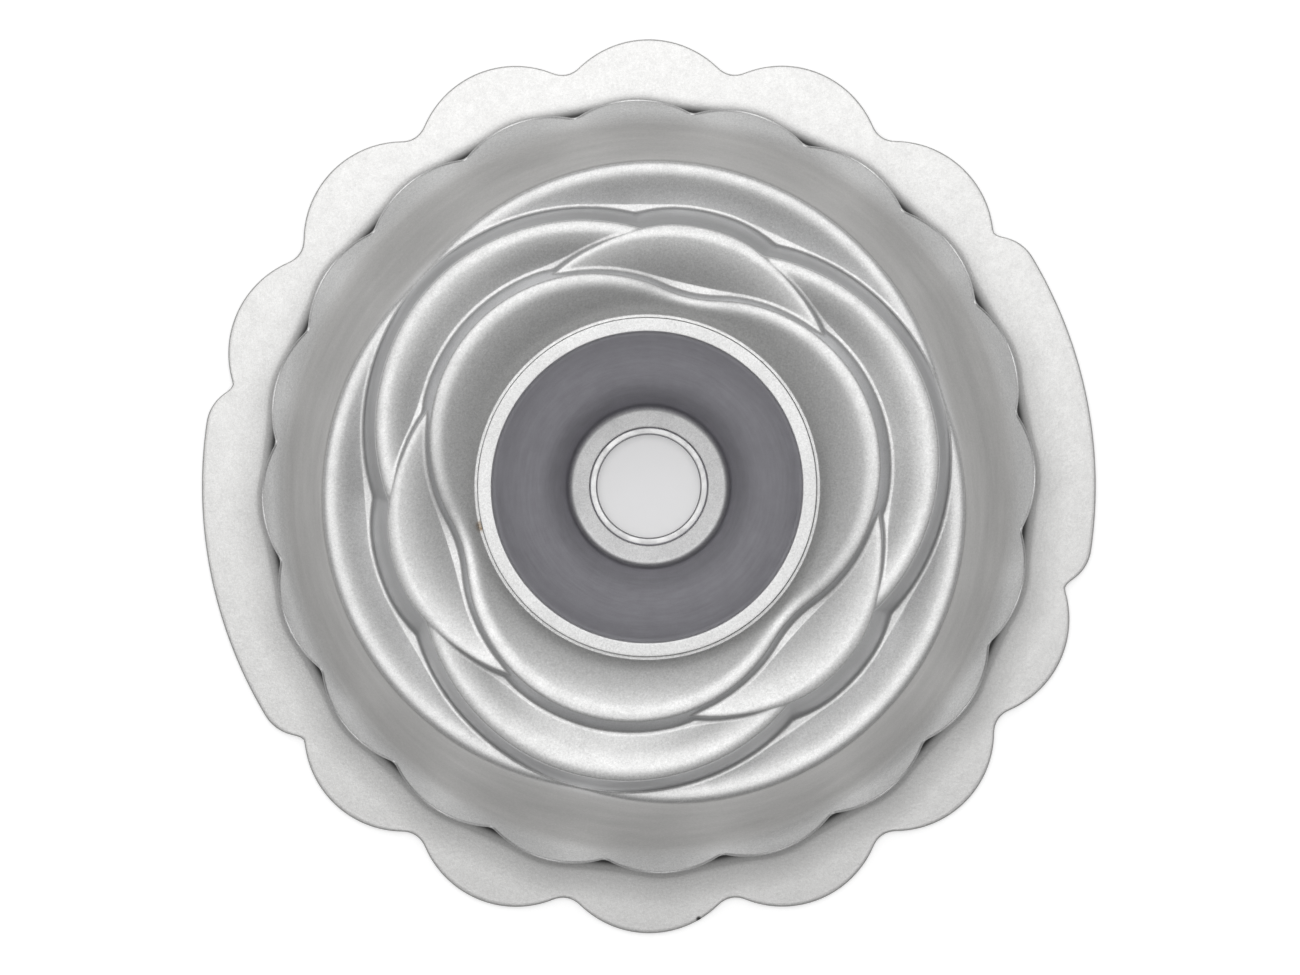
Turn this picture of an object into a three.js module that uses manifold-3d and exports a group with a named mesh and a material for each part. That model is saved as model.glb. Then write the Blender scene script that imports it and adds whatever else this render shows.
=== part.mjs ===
import * as THREE from 'three';
import { mergeVertices } from 'three/addons/utils/BufferGeometryUtils.js';
import Module from 'manifold-3d';

// A rose-shaped ring mould for cakes, lying mouth down. Millimetres, +Z towards the crown.
// The origin is on the axis in the mouth plane, and +X runs through the middle of one grip.

const degrees = Math.PI / 180;

// Clearance between pieces that seat on, pass through or grip each other
const gap = 0.3;

// Centre tube: a cone with a rolled ring over the crown and an inward flange at the small end
const tubeTop = 43;
const tubeFoot = 24;
const tubeWall = 1.5;
const tubeEnd = 3;
const tubeEndRound = 2;
const tubeEndEdge = 16.9;
const ringWidth = 3.75;
const ringHeight = 4.9;
const ringRound = 0.45;
const clinch = 0.9;
const clinchHeight = 2.4;

// Bead: a grooved ring that grips the edge of the tube's end flange
const beadWidth = 2.4;
const beadCover = 0.6;
const beadLip = 1;
const beadRound = 0.4;

// Petals: round lobes in plan, whose centres lie at a tier's reach from the axis. Outside its crest
// a petal falls over a soft shoulder and a bend to a steep wall. Inside, a tilted dish falls as far
// in as the tier's hub, measured from the seat of the tube's ring. A lip dives at the tuck where a
// higher tier reaches past it.
const petalCount = 3;
const petalTurn = 6 * degrees;
const petalBlend = 1;
const shoulderTilt = 22 * degrees;
const lipBend = 2;
const tuck = 63 * degrees;
const leastRun = 2;
const coreStep = 4;
const seatMargin = 0.8;

// Lowest tier
const lowestLip = 62;
const lowestReach = 9.5;
const lowestShoulder = 1.9;
const lowestSteep = 68 * degrees;
const lowestTilt = 16 * degrees;
const lowestHub = 25.5;

// Second tier, and its lip's rise and its crest's step in from the tier below it
const secondRise = 17;
const secondStep = 10.4;
const secondReach = 24;
const secondShoulder = 2.8;
const secondSteep = 81.5 * degrees;
const secondTilt = 13 * degrees;
const secondHub = 12.5;

// Third tier
const thirdRise = 0.2;
const thirdStep = 9.1;
const thirdReach = 24;
const thirdShoulder = 4;
const thirdSteep = 76 * degrees;
const thirdTilt = 16 * degrees;
const thirdHub = 2.5;

// Crown tier: its dish is a cone that falls to the seat, which lies a little below the third lip
const seatDrop = 3.6;
const crownStep = 6.6;
const crownReach = 19;
const crownBlend = 6;
const crownShoulder = 2.75;
const crownSteep = 85 * degrees;
const crownTilt = 17 * degrees;

// Wall of the shell: a slope from the lowest lip down to the waist, drawn in a little half way
const wall = 2.4;
const waistIn = 7.4;
const waistHeight = 18;
const wallHollow = 0.6;

// Foot of the shell: a flare below the waist, cut to a ring of flutes with a sharp edge, and a
// skirt below it. The edge is highest in the valleys between the flutes.
const footStep = 23.8;
const fluteCount = 20;
const fluteRound = 29;
const fluteBlend = 1.5;
const footEdge = 0.6;
const footFlat = 0.6;
const footOverhang = 0.3;
const skirtWall = 1.8;
const skirtLift = 0.6;
const mouthSweep = 15;

// Rim plate: sheet with a scalloped edge, two grips and an upturned collar round the foot
const plateRadius = 132;
const sheet = 2;
const flangeWidth = 18.3;
const scallopCount = 16;
const scallopRound = 29.3;
const scallopBlend = 7.6;
const gripHalf = 45;
const gripCorner = 14;
const gripBlend = 4;
const gripFall = 5;
const collarHeight = 8.7;
const collarFillet = 3;
const collarBlend = 11;
const lapWidth = 3;

// Steps round the axis
const footSteps = 120;
const rimSteps = 288;
const petalSteps = 120;
const hollowSteps = 60;
const tubeSteps = 48;
const beadSteps = 32;

const wasm = await Module();
wasm.setup();

// The larger of two radii, with the corner where they cross rounded off over a reach
function blendMax(a, b, reach) {
  const near = Math.max(reach - Math.abs(a - b), 0) / reach;
  return Math.max(a, b) + near * near * reach / 4;
}

// Radius at an angle of a ring of round lobes, the first of them centred at the turn. Their
// centres lie at the reach, and each runs out to the crest.
function lobedRadius(angle, { count, crest, reach, blend, turn }) {
  const pitch = 2 * Math.PI / count;
  const offset = Math.abs(THREE.MathUtils.euclideanModulo(angle - turn + pitch / 2, pitch) - pitch / 2);
  const round = crest - reach;
  const arc = (off) => {
    const side = reach * Math.sin(off);
    return reach * Math.cos(off) + Math.sqrt(Math.max(round * round - side * side, 0));
  };
  return blendMax(arc(offset), arc(pitch - offset), blend);
}

// Points on an arc in the radius and height plane
function arcPoints(radius, height, round, from, to, steps) {
  return Array.from({ length: steps + 1 }, (_, step) => {
    const turn = (from + (to - from) * step / steps) * degrees;
    return [radius + round * Math.cos(turn), height + round * Math.sin(turn)];
  });
}

// A closed ring whose section changes with the angle. The section is a list of radius and height
// pairs, anticlockwise, with the same number of points at every angle.
function ringGeometry(steps, sectionAt) {
  const closed = (angle) => {
    const section = sectionAt(angle);
    return [...section, section[0]];
  };
  const template = closed(0).map(([radius, height]) => new THREE.Vector2(radius, height));
  const geometry = new THREE.LatheGeometry(template, steps);
  const position = geometry.attributes.position;
  for (let step = 0; step <= steps; step += 1) {
    const angle = (step % steps) * 2 * Math.PI / steps;
    closed(angle).forEach(([radius, height], index) => {
      const vertex = step * template.length + index;
      position.setXYZ(vertex, radius * Math.cos(angle), radius * Math.sin(angle), height);
    });
  }
  return merged(geometry);
}

// The same geometry with only positions, and each corner held once
function merged(geometry) {
  geometry.deleteAttribute('normal');
  geometry.deleteAttribute('uv');
  return mergeVertices(geometry);
}

function toSolid(geometry) {
  const vertProperties = new Float32Array(geometry.attributes.position.array);
  const triVerts = new Uint32Array(geometry.index.array);
  return new wasm.Manifold(new wasm.Mesh({ numProp: 3, vertProperties, triVerts }));
}

function toGeometry(solid) {
  const mesh = solid.getMesh();
  const geometry = new THREE.BufferGeometry();
  geometry.setAttribute('position', new THREE.BufferAttribute(mesh.vertProperties, 3));
  geometry.setIndex(new THREE.BufferAttribute(mesh.triVerts, 1));
  return geometry;
}

function fused(solids) {
  return solids.reduce((whole, solid) => whole.add(solid));
}

// Radii from the plate's edge inwards to the lowest crest, and from the tube outwards to the flat
// that its ring rests on
const footRadius = plateRadius - flangeWidth;
const waistRadius = footRadius - waistIn;
const lowestCrest = footRadius - footStep;
const crownHole = tubeTop + tubeWall + gap;
const ringOuter = tubeTop + ringWidth;
const seatRadius = ringOuter + seatMargin;

// The tiers from the lowest to the crown. The petals of each lie over the gaps of the one below.
const petalTiers = [
  { rise: lowestLip, step: 0, reach: lowestReach, shoulder: lowestShoulder, steep: lowestSteep,
    tilt: lowestTilt, hub: lowestHub },
  { rise: secondRise, step: secondStep, reach: secondReach, shoulder: secondShoulder, steep: secondSteep,
    tilt: secondTilt, hub: secondHub },
  { rise: thirdRise, step: thirdStep, reach: thirdReach, shoulder: thirdShoulder, steep: thirdSteep,
    tilt: thirdTilt, hub: thirdHub },
  { rise: 0, step: crownStep, reach: crownReach, shoulder: crownShoulder, steep: crownSteep,
    tilt: crownTilt, hub: 0, blend: crownBlend },
].map((sizes, index, all) => {
  const upTo = all.slice(0, index + 1);
  const lip = upTo.reduce((height, tier) => height + tier.rise, 0);
  const crest = upTo.reduce((radius, tier) => radius - tier.step, lowestCrest);
  const turn = petalTurn + (index % 2 === 0 ? Math.PI / petalCount : 0);
  const topEnd = seatRadius + sizes.hub;
  return { blend: petalBlend, ...sizes, lip, crest, turn, count: petalCount, topEnd };
});
const [lowestTier, ...upperTiers] = petalTiers;
const crownTier = petalTiers[petalTiers.length - 1];
const seatHeight = crownTier.lip - seatDrop;

// Outlines of the foot in plan: its sharp edge, and the outside of the collar that carries it.
// The collar's valleys are shallower at its base than under the edge.
function footAt(angle, blend) {
  const turn = Math.PI / fluteCount;
  const reach = footRadius - fluteRound;
  return lobedRadius(angle, { count: fluteCount, crest: footRadius, reach, blend, turn });
}

function collarTopAt(angle) {
  return footAt(angle, fluteBlend) - footOverhang;
}

function collarBaseAt(angle) {
  return footAt(angle, collarBlend) - footOverhang;
}

// The flare falls evenly from the waist to the crests of the flutes, and the shoulder under its
// edge follows it
function shoulderAt(angle) {
  const lowest = collarHeight + gap;
  const slope = (waistHeight - lowest - footEdge) / (waistIn - footFlat);
  return lowest + slope * (footRadius - footAt(angle, fluteBlend));
}

// The inside of the collar turns up out of the plate's underside round this centre
const bendHeight = sheet + collarFillet;
const bendCentreAt = (angle) => collarTopAt(angle) + collarFillet;

// Outline of the rim plate: scallops all round, with a plain arc over each grip
function plateAt(angle) {
  const turn = Math.PI / scallopCount;
  const reach = plateRadius - scallopRound;
  const edge = { count: scallopCount, crest: plateRadius, reach, blend: scallopBlend, turn };
  const scallops = lobedRadius(angle, edge);
  const fromGrip = Math.abs(THREE.MathUtils.euclideanModulo(angle + Math.PI / 2, Math.PI) - Math.PI / 2);
  const past = plateRadius * fromGrip - gripHalf;
  if (past <= 0) {
    return plateRadius;
  }
  const onCorner = Math.min(past, gripCorner);
  const corner = gripCorner - Math.sqrt(gripCorner * gripCorner - onCorner * onCorner);
  const beyond = gripFall * Math.max(past - gripCorner, 0);
  return blendMax(scallops, plateRadius - corner - beyond, gripBlend);
}

function rimPlate() {
  const lapRadius = footRadius + collarFillet + lapWidth;
  const holeRadius = lapRadius - lapWidth / 2;
  const around = (radiusAt, steps) => Array.from({ length: steps }, (_, step) => {
    const angle = step * 2 * Math.PI / steps;
    return new THREE.Vector2(radiusAt(angle) * Math.cos(angle), radiusAt(angle) * Math.sin(angle));
  });
  const outline = new THREE.Shape(around(plateAt, rimSteps));
  outline.holes.push(new THREE.Path(around(() => holeRadius, footSteps)));
  const plate = merged(new THREE.ExtrudeGeometry(outline, { depth: sheet, bevelEnabled: false }));
  const collar = ringGeometry(footSteps, (angle) => [
    [lapRadius, 0],
    [lapRadius, sheet],
    ...arcPoints(collarBaseAt(angle) + collarFillet, bendHeight, collarFillet, 270, 180, 2),
    [collarTopAt(angle), shoulderAt(angle) - gap],
    [collarTopAt(angle) - sheet, shoulderAt(angle) - gap],
    ...arcPoints(bendCentreAt(angle), bendHeight, collarFillet + sheet, 180, 270, 3),
  ]);
  return toGeometry(toSolid(plate).add(toSolid(collar)));
}

// The shell's skirt passes down inside the collar and is flared under its bend, so the collar is
// held between the flare and the foot's edge
const skirtAt = (angle) => collarTopAt(angle) - sheet - gap;

// Height of a tier's lip. The crown's follows the cone of its dish, and another tier's dives where
// a higher tier reaches past it.
function lipAt(angle, tier, crest) {
  if (tier === crownTier) {
    return seatHeight + (crest - seatRadius) * Math.tan(crownTilt);
  }
  const above = petalTiers.slice(petalTiers.indexOf(tier) + 1);
  const past = Math.max(...above.map((upper) => lobedRadius(angle, upper))) - crest;
  return tier.lip - Math.max(past, 0) * Math.tan(tuck);
}

// The lip and the dish of a tier, from the top of its wall in to the core, where it lies no higher
// than the seat of the tube's ring
function petalTop(angle, tier, inset, core) {
  const crest = Math.max(lobedRadius(angle, tier), tier.topEnd + leastRun);
  const lip = lipAt(angle, tier, crest);
  const shoulder = crest + tier.shoulder - inset;
  const shoulderHeight = lip - tier.shoulder * Math.tan(shoulderTilt) / 2 - inset;
  const bendOut = lipBend * (Math.sin(tier.steep) - Math.sin(shoulderTilt));
  const bendDown = lipBend * (Math.cos(shoulderTilt) - Math.cos(tier.steep));
  const dishHeight = (radius) => lip - (crest - radius) * Math.tan(tier.tilt) - inset;
  const coreHeight = Math.min(dishHeight(tier.topEnd), seatHeight - inset);
  return [
    [shoulder + bendOut, shoulderHeight - bendDown],
    [shoulder, shoulderHeight],
    [crest - inset, dishHeight(crest - inset)],
    [tier.topEnd, dishHeight(tier.topEnd)],
    [core, coreHeight],
  ];
}

// An upper tier: its outside stands on the waist's level inside the tiers below
function petalRing(tier, inset, core, steps) {
  return toSolid(ringGeometry(steps, (angle) => {
    const top = petalTop(angle, tier, inset, core);
    const [wallRadius, wallHeight] = top[0];
    const spread = (wallHeight - waistHeight) / Math.tan(tier.steep);
    return [[core, waistHeight], [wallRadius + spread, waistHeight], ...top];
  }));
}

// The slope between the waist and its upper end, drawn in a little half way up
function wallPoints(waist, [radius, height]) {
  const middle = [(waist + radius) / 2 - wallHollow, (waistHeight + height) / 2];
  return [[waist, waistHeight], middle];
}

// The lowest tier with the fluted foot, the skirt and the wall
function baseRing(tier, core) {
  return toSolid(ringGeometry(footSteps, (angle) => {
    const top = petalTop(angle, tier, 0, core);
    const flare = collarFillet + sheet + gap;
    const flareEnd = Math.asin((bendHeight - skirtLift) / flare) / degrees;
    const foot = footAt(angle, fluteBlend);
    const edge = shoulderAt(angle) + footEdge;
    return [
      [core, skirtLift],
      ...arcPoints(bendCentreAt(angle), bendHeight, flare, 180 + flareEnd, 180, 2),
      [skirtAt(angle), shoulderAt(angle)],
      [foot, shoulderAt(angle)],
      [foot, edge],
      [foot - footFlat, edge],
      ...wallPoints(waistRadius, top[0]),
      ...top,
    ];
  }));
}

// The hollow inside the lowest tier, open at the mouth
function baseHollow(tier, core) {
  return toSolid(ringGeometry(hollowSteps, (angle) => {
    const top = petalTop(angle, tier, wall, core);
    const flare = collarFillet + sheet + gap + skirtWall;
    const flareEnd = Math.asin(bendHeight / flare) / degrees + mouthSweep;
    const mouth = arcPoints(bendCentreAt(angle), bendHeight, flare, 180 + flareEnd, 180, 2);
    return [
      [core, mouth[0][1]],
      ...mouth,
      [skirtAt(angle) - skirtWall, shoulderAt(angle)],
      ...wallPoints(waistRadius - wall, top[0]),
      ...top,
    ];
  }));
}

function roseShell() {
  const outerCore = (index) => crownHole + coreStep * (petalTiers.length - 1 - index);
  const hollowCore = (index) => crownHole - coreStep * (index + 1);
  const body = fused([
    baseRing(lowestTier, outerCore(0)),
    ...upperTiers.map((tier, index) => petalRing(tier, 0, outerCore(index + 1), petalSteps)),
  ]);
  const hollow = fused([
    baseHollow(lowestTier, hollowCore(0)),
    ...upperTiers.map((tier, index) => petalRing(tier, wall, hollowCore(index + 1), hollowSteps)),
  ]);
  return toGeometry(body.subtract(hollow));
}

function lathe(section, steps) {
  return ringGeometry(steps, () => section);
}

// The tube's ring rests on the flat of the crown, and the clinch below holds the crown's edge
function centreTube() {
  const outer = tubeTop + tubeWall;
  const neckBottom = seatHeight - wall - gap - clinchHeight;
  const ringBottom = seatHeight + gap;
  const ringTop = ringBottom + ringHeight;
  const clinchTop = neckBottom + clinchHeight;
  const bendRadius = tubeFoot - tubeEndRound;
  const tubeBend = tubeEnd + tubeWall + tubeEndRound;
  return lathe([
    [tubeEndEdge, tubeEnd],
    ...arcPoints(bendRadius, tubeBend, tubeEndRound + tubeWall, 270, 360, 3),
    [outer, neckBottom],
    [outer + clinch, neckBottom + clinch],
    [outer + clinch, clinchTop],
    [outer, clinchTop],
    [outer, ringBottom],
    [ringOuter, ringBottom],
    ...arcPoints(ringOuter - ringRound, ringTop - ringRound, ringRound, 0, 90, 2),
    ...arcPoints(tubeTop + ringRound, ringTop - ringRound, ringRound, 90, 180, 2),
    [tubeTop, neckBottom],
    ...arcPoints(bendRadius, tubeBend, tubeEndRound, 360, 270, 3),
    [tubeEndEdge, tubeEnd + tubeWall],
  ], tubeSteps);
}

function tubeBead() {
  const beadOuter = tubeEndEdge + beadCover;
  const beadBore = beadOuter - beadWidth;
  const groove = tubeEndEdge - gap;
  const lower = tubeEnd - gap;
  const upper = tubeEnd + tubeWall + gap;
  const bottom = lower - beadLip;
  const top = upper + beadLip;
  return lathe([
    [beadBore, bottom + beadRound],
    [beadBore + beadRound, bottom],
    [beadOuter - beadRound, bottom],
    [beadOuter, bottom + beadRound],
    [beadOuter, lower],
    [groove, lower],
    [groove, upper],
    [beadOuter, upper],
    [beadOuter, top - beadRound],
    [beadOuter - beadRound, top],
    [beadBore + beadRound, top],
    [beadBore, top - beadRound],
  ], beadSteps);
}

function piece(name, geometry, color, roughness) {
  geometry.computeVertexNormals();
  const mesh = new THREE.Mesh(geometry, new THREE.MeshStandardMaterial({ color, roughness, metalness: 0.9 }));
  mesh.name = name;
  return mesh;
}

const mould = new THREE.Group();
mould.add(
  piece('rim_plate', rimPlate(), 0xd8d8d6, 0.6),
  piece('rose_shell', roseShell(), 0xc4c4c3, 0.45),
  piece('centre_tube', centreTube(), 0x94979d, 0.35),
  piece('tube_bead', tubeBead(), 0xcfcfce, 0.4),
);

export default mould;
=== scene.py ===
import math

import bpy
import numpy as np
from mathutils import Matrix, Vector


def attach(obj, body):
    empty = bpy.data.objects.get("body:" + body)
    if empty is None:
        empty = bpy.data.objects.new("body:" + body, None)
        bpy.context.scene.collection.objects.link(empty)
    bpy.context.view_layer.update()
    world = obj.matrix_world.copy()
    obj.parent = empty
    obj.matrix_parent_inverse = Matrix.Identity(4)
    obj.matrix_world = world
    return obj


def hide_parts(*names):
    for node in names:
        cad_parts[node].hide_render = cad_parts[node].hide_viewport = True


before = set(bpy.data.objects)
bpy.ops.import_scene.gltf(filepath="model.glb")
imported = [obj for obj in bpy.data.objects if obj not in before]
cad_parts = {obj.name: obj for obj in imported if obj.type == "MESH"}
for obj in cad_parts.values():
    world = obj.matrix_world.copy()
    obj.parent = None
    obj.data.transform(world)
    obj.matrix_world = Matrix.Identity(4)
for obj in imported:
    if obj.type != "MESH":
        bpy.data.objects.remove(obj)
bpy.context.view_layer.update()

# Sizes in millimetres, those of the solids where both have the form. Meshes are made in metres.
MM = 0.001
GAP = 0.3

# Rim plate: scallops, two plain grips, and a soft rise and a sweep up to the collar
PLATE_RADIUS = 132.0
FLANGE_WIDTH = 18.3
SHEET = 2.0
PLATE_EDGE = 0.5
SCALLOP_COUNT = 16
SCALLOP_ROUND = 29.3
SCALLOP_BLEND = 7.6
GRIP_HALF = 45.0
GRIP_CORNER = 14.0
GRIP_BLEND = 4.0
GRIP_FALL = 5.0
EASE_WIDTH = 9.0
EASE_RISE = 0.35
SWEEP_ROUND = 9.0
SWEEP_OUT = 2.5
COLLAR_BLEND = 11.0
COLLAR_HEIGHT = 8.7
COLLAR_FILLET = 3.0
COLLAR_EDGE = 0.3
BEND_HEIGHT = SHEET + COLLAR_FILLET

# Foot of the shell: flutes, an edge over the collar, and a skirt that is flared under the plate's bend
FOOT_RADIUS = PLATE_RADIUS - FLANGE_WIDTH
FLUTE_COUNT = 20
FLUTE_ROUND = 29.0
FLUTE_BLEND = 1.5
FOOT_EDGE = 0.6
FOOT_FLAT = 0.6
FOOT_OVERHANG = 0.3
SKIRT_WALL = 1.8
SKIRT_LIFT = 0.6
SHELF_EDGE = 0.2

# Outer wall of the shell and the waist between it and the flare of the foot
WALL = 2.4
WAIST_IN = 7.4
WAIST_RADIUS = FOOT_RADIUS - WAIST_IN
WAIST_HEIGHT = 18.0
WAIST_BLEND = 7.0
WALL_HOLLOW = 0.6
WALL_TILT = 68.0

# Tube: a cone with a ring over the crown, a clinched ridge below it and a flange at its small end
TUBE_TOP = 43.0
TUBE_WALL = 1.5
TUBE_FOOT = 24.0
TUBE_END = 3.0
TUBE_END_ROUND = 2.0
TUBE_END_EDGE = 16.9
TUBE_STEPS = 240
FLANGE_EDGE = 0.2
RING_OUTER = TUBE_TOP + 3.75
RING_HEIGHT = 4.9
RING_ROUND = 0.22
CLINCH = 0.9
CLINCH_HEIGHT = 2.4
CLINCH_EDGE = 0.3
GROOVE_EDGE = 0.1
NECK_HEIGHTS = (2.0, 0.6)
NECK_IN = 0.03

# Bead that grips the edge of the tube's flange
BEAD_WIDTH = 2.4
BEAD_COVER = 0.6
BEAD_LIP = 1.0
BEAD_ROUND = 0.6
BEAD_STEPS = 144

# Crown of the shell, with a low welt beside the tube's ring
CROWN_HOLE = TUBE_TOP + TUBE_WALL + GAP
HOLE_EDGE = 0.3
HOLE_BEND = 0.09
SEAT_HEIGHT = 75.6
WELT_INNER = 46.9
WELT_EDGE = 0.15
WELT_OUTER = 47.85
WELT_RISE = 0.6
WELT_RUN = 25.0
CROWN_SLOPE = 0.52
CROWN_HOLD = 4.0
CROWN_EASE = 0.014
CROWN_SOFT = 0.55

# Tiers of petals, from the lowest to the crown. Each has the height of its lip, its crest, the reach of
# the lobe centres and the blend between lobes. Then come the width of the lip outside, also at the
# petal's ends, the rounding below it and the draft of the wall; and for the dish inside, the width of
# the lip, the slope there, its growth, the most slope, the gain at the petal's ends, the width of the
# gutter and the span of the gutter's curve past kinks.
TIERS = [
    dict(
        lip=62.0, crest=89.9, reach=9.5, blend=1.0, outer=1.0, end=1.0, bend=1.8, draft=12.0,
        inner=2.7, slope=0.25, growth=0.03, most=0.33, gain=1.0, gutter=1.0, span=80.0,
    ),
    dict(
        lip=79.0, crest=79.5, reach=24.0, blend=1.0, outer=1.9, end=1.7, bend=0.8, draft=14.0,
        inner=1.8, slope=0.14, growth=0.03, most=0.275, gain=1.4, gutter=0.9, span=35.0,
    ),
    dict(
        lip=79.2, crest=70.7, reach=24.5, blend=1.0, outer=2.2, end=0.5, bend=0.6, draft=16.5,
        inner=1.2, slope=0.17, growth=0.024, most=0.42, gain=1.0, gutter=0.9, span=50.0,
    ),
    dict(crest=64.1, reach=19.4, blend=6.0, outer=0.8, end=0.8, bend=0.6, draft=32.0, inner=3.8),
]
PETAL_COUNT = 3
PETAL_TURN = math.radians(6)
END_FROM = math.radians(5)
END_TO = math.radians(27)
LIP_SLOPE = 0.2
TUCK = 2.0
CREASE = 0.8
CREASE_RADIUS = 72.0

# Grid of the shell: columns round the axis, a fine radial step, and rows drawn from fine lines
COLUMNS = 720
STEP = 0.05
MARGIN = 6.0
FINE = 1400
ROWS = 270
ROW_REACH = 5
ROW_BEND = 0.5
INSIDE_COARSE = 4
INSIDE_ROWS = 90
INSIDE_BEND = 0.45
INSIDE_END = 0.1
NOWHERE = -1e3


def blend_max(a, b, reach):
    near = np.maximum(reach - np.abs(a - b), 0.0) / reach
    return np.maximum(a, b) + near * near * reach / 4


def lobe_offset(angle, count, turn):
    """Angle from the middle of the nearest lobe."""
    pitch = 2 * math.pi / count
    return np.abs(np.mod(angle - turn + pitch / 2, pitch) - pitch / 2)


def lobed_radius(angle, count, crest, reach, blend, turn):
    """Radius of a ring of round lobes whose centres lie at the reach."""
    offset = lobe_offset(angle, count, turn)
    rounding = crest - reach

    def arc(off):
        side = reach * np.sin(off)
        return reach * np.cos(off) + np.sqrt(np.maximum(rounding**2 - side**2, 0.0))

    return blend_max(arc(offset), arc(2 * math.pi / count - offset), blend)


def foot_at(angle, blend):
    reach = FOOT_RADIUS - FLUTE_ROUND
    return lobed_radius(angle, FLUTE_COUNT, FOOT_RADIUS, reach, blend, math.pi / FLUTE_COUNT)


def plate_at(angle):
    reach = PLATE_RADIUS - SCALLOP_ROUND
    turn = math.pi / SCALLOP_COUNT
    scallops = lobed_radius(angle, SCALLOP_COUNT, PLATE_RADIUS, reach, SCALLOP_BLEND, turn)
    past = PLATE_RADIUS * lobe_offset(angle, 2, 0.0) - GRIP_HALF
    on_corner = np.clip(past, 0.0, GRIP_CORNER)
    corner = GRIP_CORNER - np.sqrt(GRIP_CORNER**2 - on_corner**2)
    beyond = GRIP_FALL * np.maximum(past - GRIP_CORNER, 0.0)
    edge = blend_max(scallops, PLATE_RADIUS - corner - beyond, GRIP_BLEND)
    return np.where(past <= 0, PLATE_RADIUS, edge)


def petal_turn(index):
    return PETAL_TURN + (math.pi / PETAL_COUNT if index % 2 == 0 else 0.0)


def petal_outline(angle, index):
    tier = TIERS[index]
    return lobed_radius(angle, PETAL_COUNT, tier["crest"], tier["reach"], tier["blend"], petal_turn(index))


def toward_end(angle, index):
    """0 over the middle of a petal, 1 at its ends."""
    offset = lobe_offset(angle, PETAL_COUNT, petal_turn(index))
    share = np.clip((offset - END_FROM) / (END_TO - END_FROM), 0.0, 1.0)
    return share * share * (3 - 2 * share)


def lip_width(angle, index):
    """Width of a lip's soft shoulder outside the crest, which changes to the petal's ends."""
    tier = TIERS[index]
    return tier["outer"] + (tier["end"] - tier["outer"]) * toward_end(angle, index)


def flare_at(radius):
    """Height of the flare between the waist and the foot's edge."""
    lowest = COLLAR_HEIGHT + GAP + FOOT_EDGE
    slope = (WAIST_HEIGHT - lowest) / (WAIST_IN - FOOT_FLAT)
    return WAIST_HEIGHT - slope * (radius - WAIST_RADIUS)


def shoulder_at(angle):
    """Height of the underside of the foot's edge."""
    return flare_at(foot_at(angle, FLUTE_BLEND) - FOOT_FLAT) - FOOT_EDGE


def collar_top_at(angle):
    return foot_at(angle, FLUTE_BLEND) - FOOT_OVERHANG


def lip_outside(out, lip, soft_width, rounding, steepest):
    """Height outside the crest: a soft shoulder, a tighter bend and a straight steep wall. Also the
    width of shoulder and bend, and the height at which the wall begins."""
    first = math.atan(LIP_SLOPE)
    last = math.radians(steepest)
    soft = lip - LIP_SLOPE * out**2 / (2 * soft_width)
    bend_top = lip - LIP_SLOPE * soft_width / 2
    sine = np.clip(math.sin(first) + (out - soft_width) / rounding, -1.0, math.sin(last))
    bend = bend_top - rounding * (math.cos(first) - np.sqrt(1 - sine**2))
    width = soft_width + rounding * (math.sin(last) - math.sin(first))
    wall_top = bend_top - rounding * (math.cos(first) - math.cos(last))
    wall = wall_top - (out - width) * math.tan(last)
    return np.where(out < soft_width, soft, np.where(out < width, bend, wall)), width, wall_top


def dish_fall(depth, tier):
    """Fall of a dish inside its crest: a quick turn over the lip, then a tilt that grows slowly."""
    lip_part = np.minimum(depth, tier["inner"])
    growing = (tier["most"] - tier["slope"]) / tier["growth"]
    mid_part = np.clip(depth - tier["inner"], 0.0, growing)
    last_part = np.maximum(depth - tier["inner"] - growing, 0.0)
    fall = tier["slope"] * lip_part**2 / (2 * tier["inner"])
    return fall + tier["slope"] * mid_part + tier["growth"] * mid_part**2 / 2 + tier["most"] * last_part


def crown_dish(radii, outline):
    """Height of the crown's dish, a dish round the axis with a soft lip along its outline, and the
    height of that lip."""
    tier = TIERS[-1]

    def even(radius):
        span = np.maximum(radius - WELT_OUTER, 0.0)
        eased = np.maximum(span - CROWN_HOLD, 0.0)
        return SEAT_HEIGHT + CROWN_SLOPE * span - CROWN_EASE * eased**2

    def welt(radius):
        up = np.clip((radius - WELT_INNER) / WELT_EDGE, 0.0, 1.0)
        down = np.clip((radius - WELT_OUTER) / WELT_RUN, 0.0, 1.0)
        return WELT_RISE * up * (1 - down)

    tilt = CROWN_SLOPE - 2 * CROWN_EASE * np.maximum(outline - WELT_OUTER - CROWN_HOLD, 0.0)
    soft = np.minimum(tier["inner"], CROWN_SOFT * (outline - WELT_OUTER))
    near = np.maximum(soft - (outline - radii), 0.0)
    dish = even(np.minimum(radii, outline)) - tilt * near**2 / (2 * soft)
    return dish + welt(radii), even(outline) + welt(outline) - tilt * soft / 2


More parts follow.
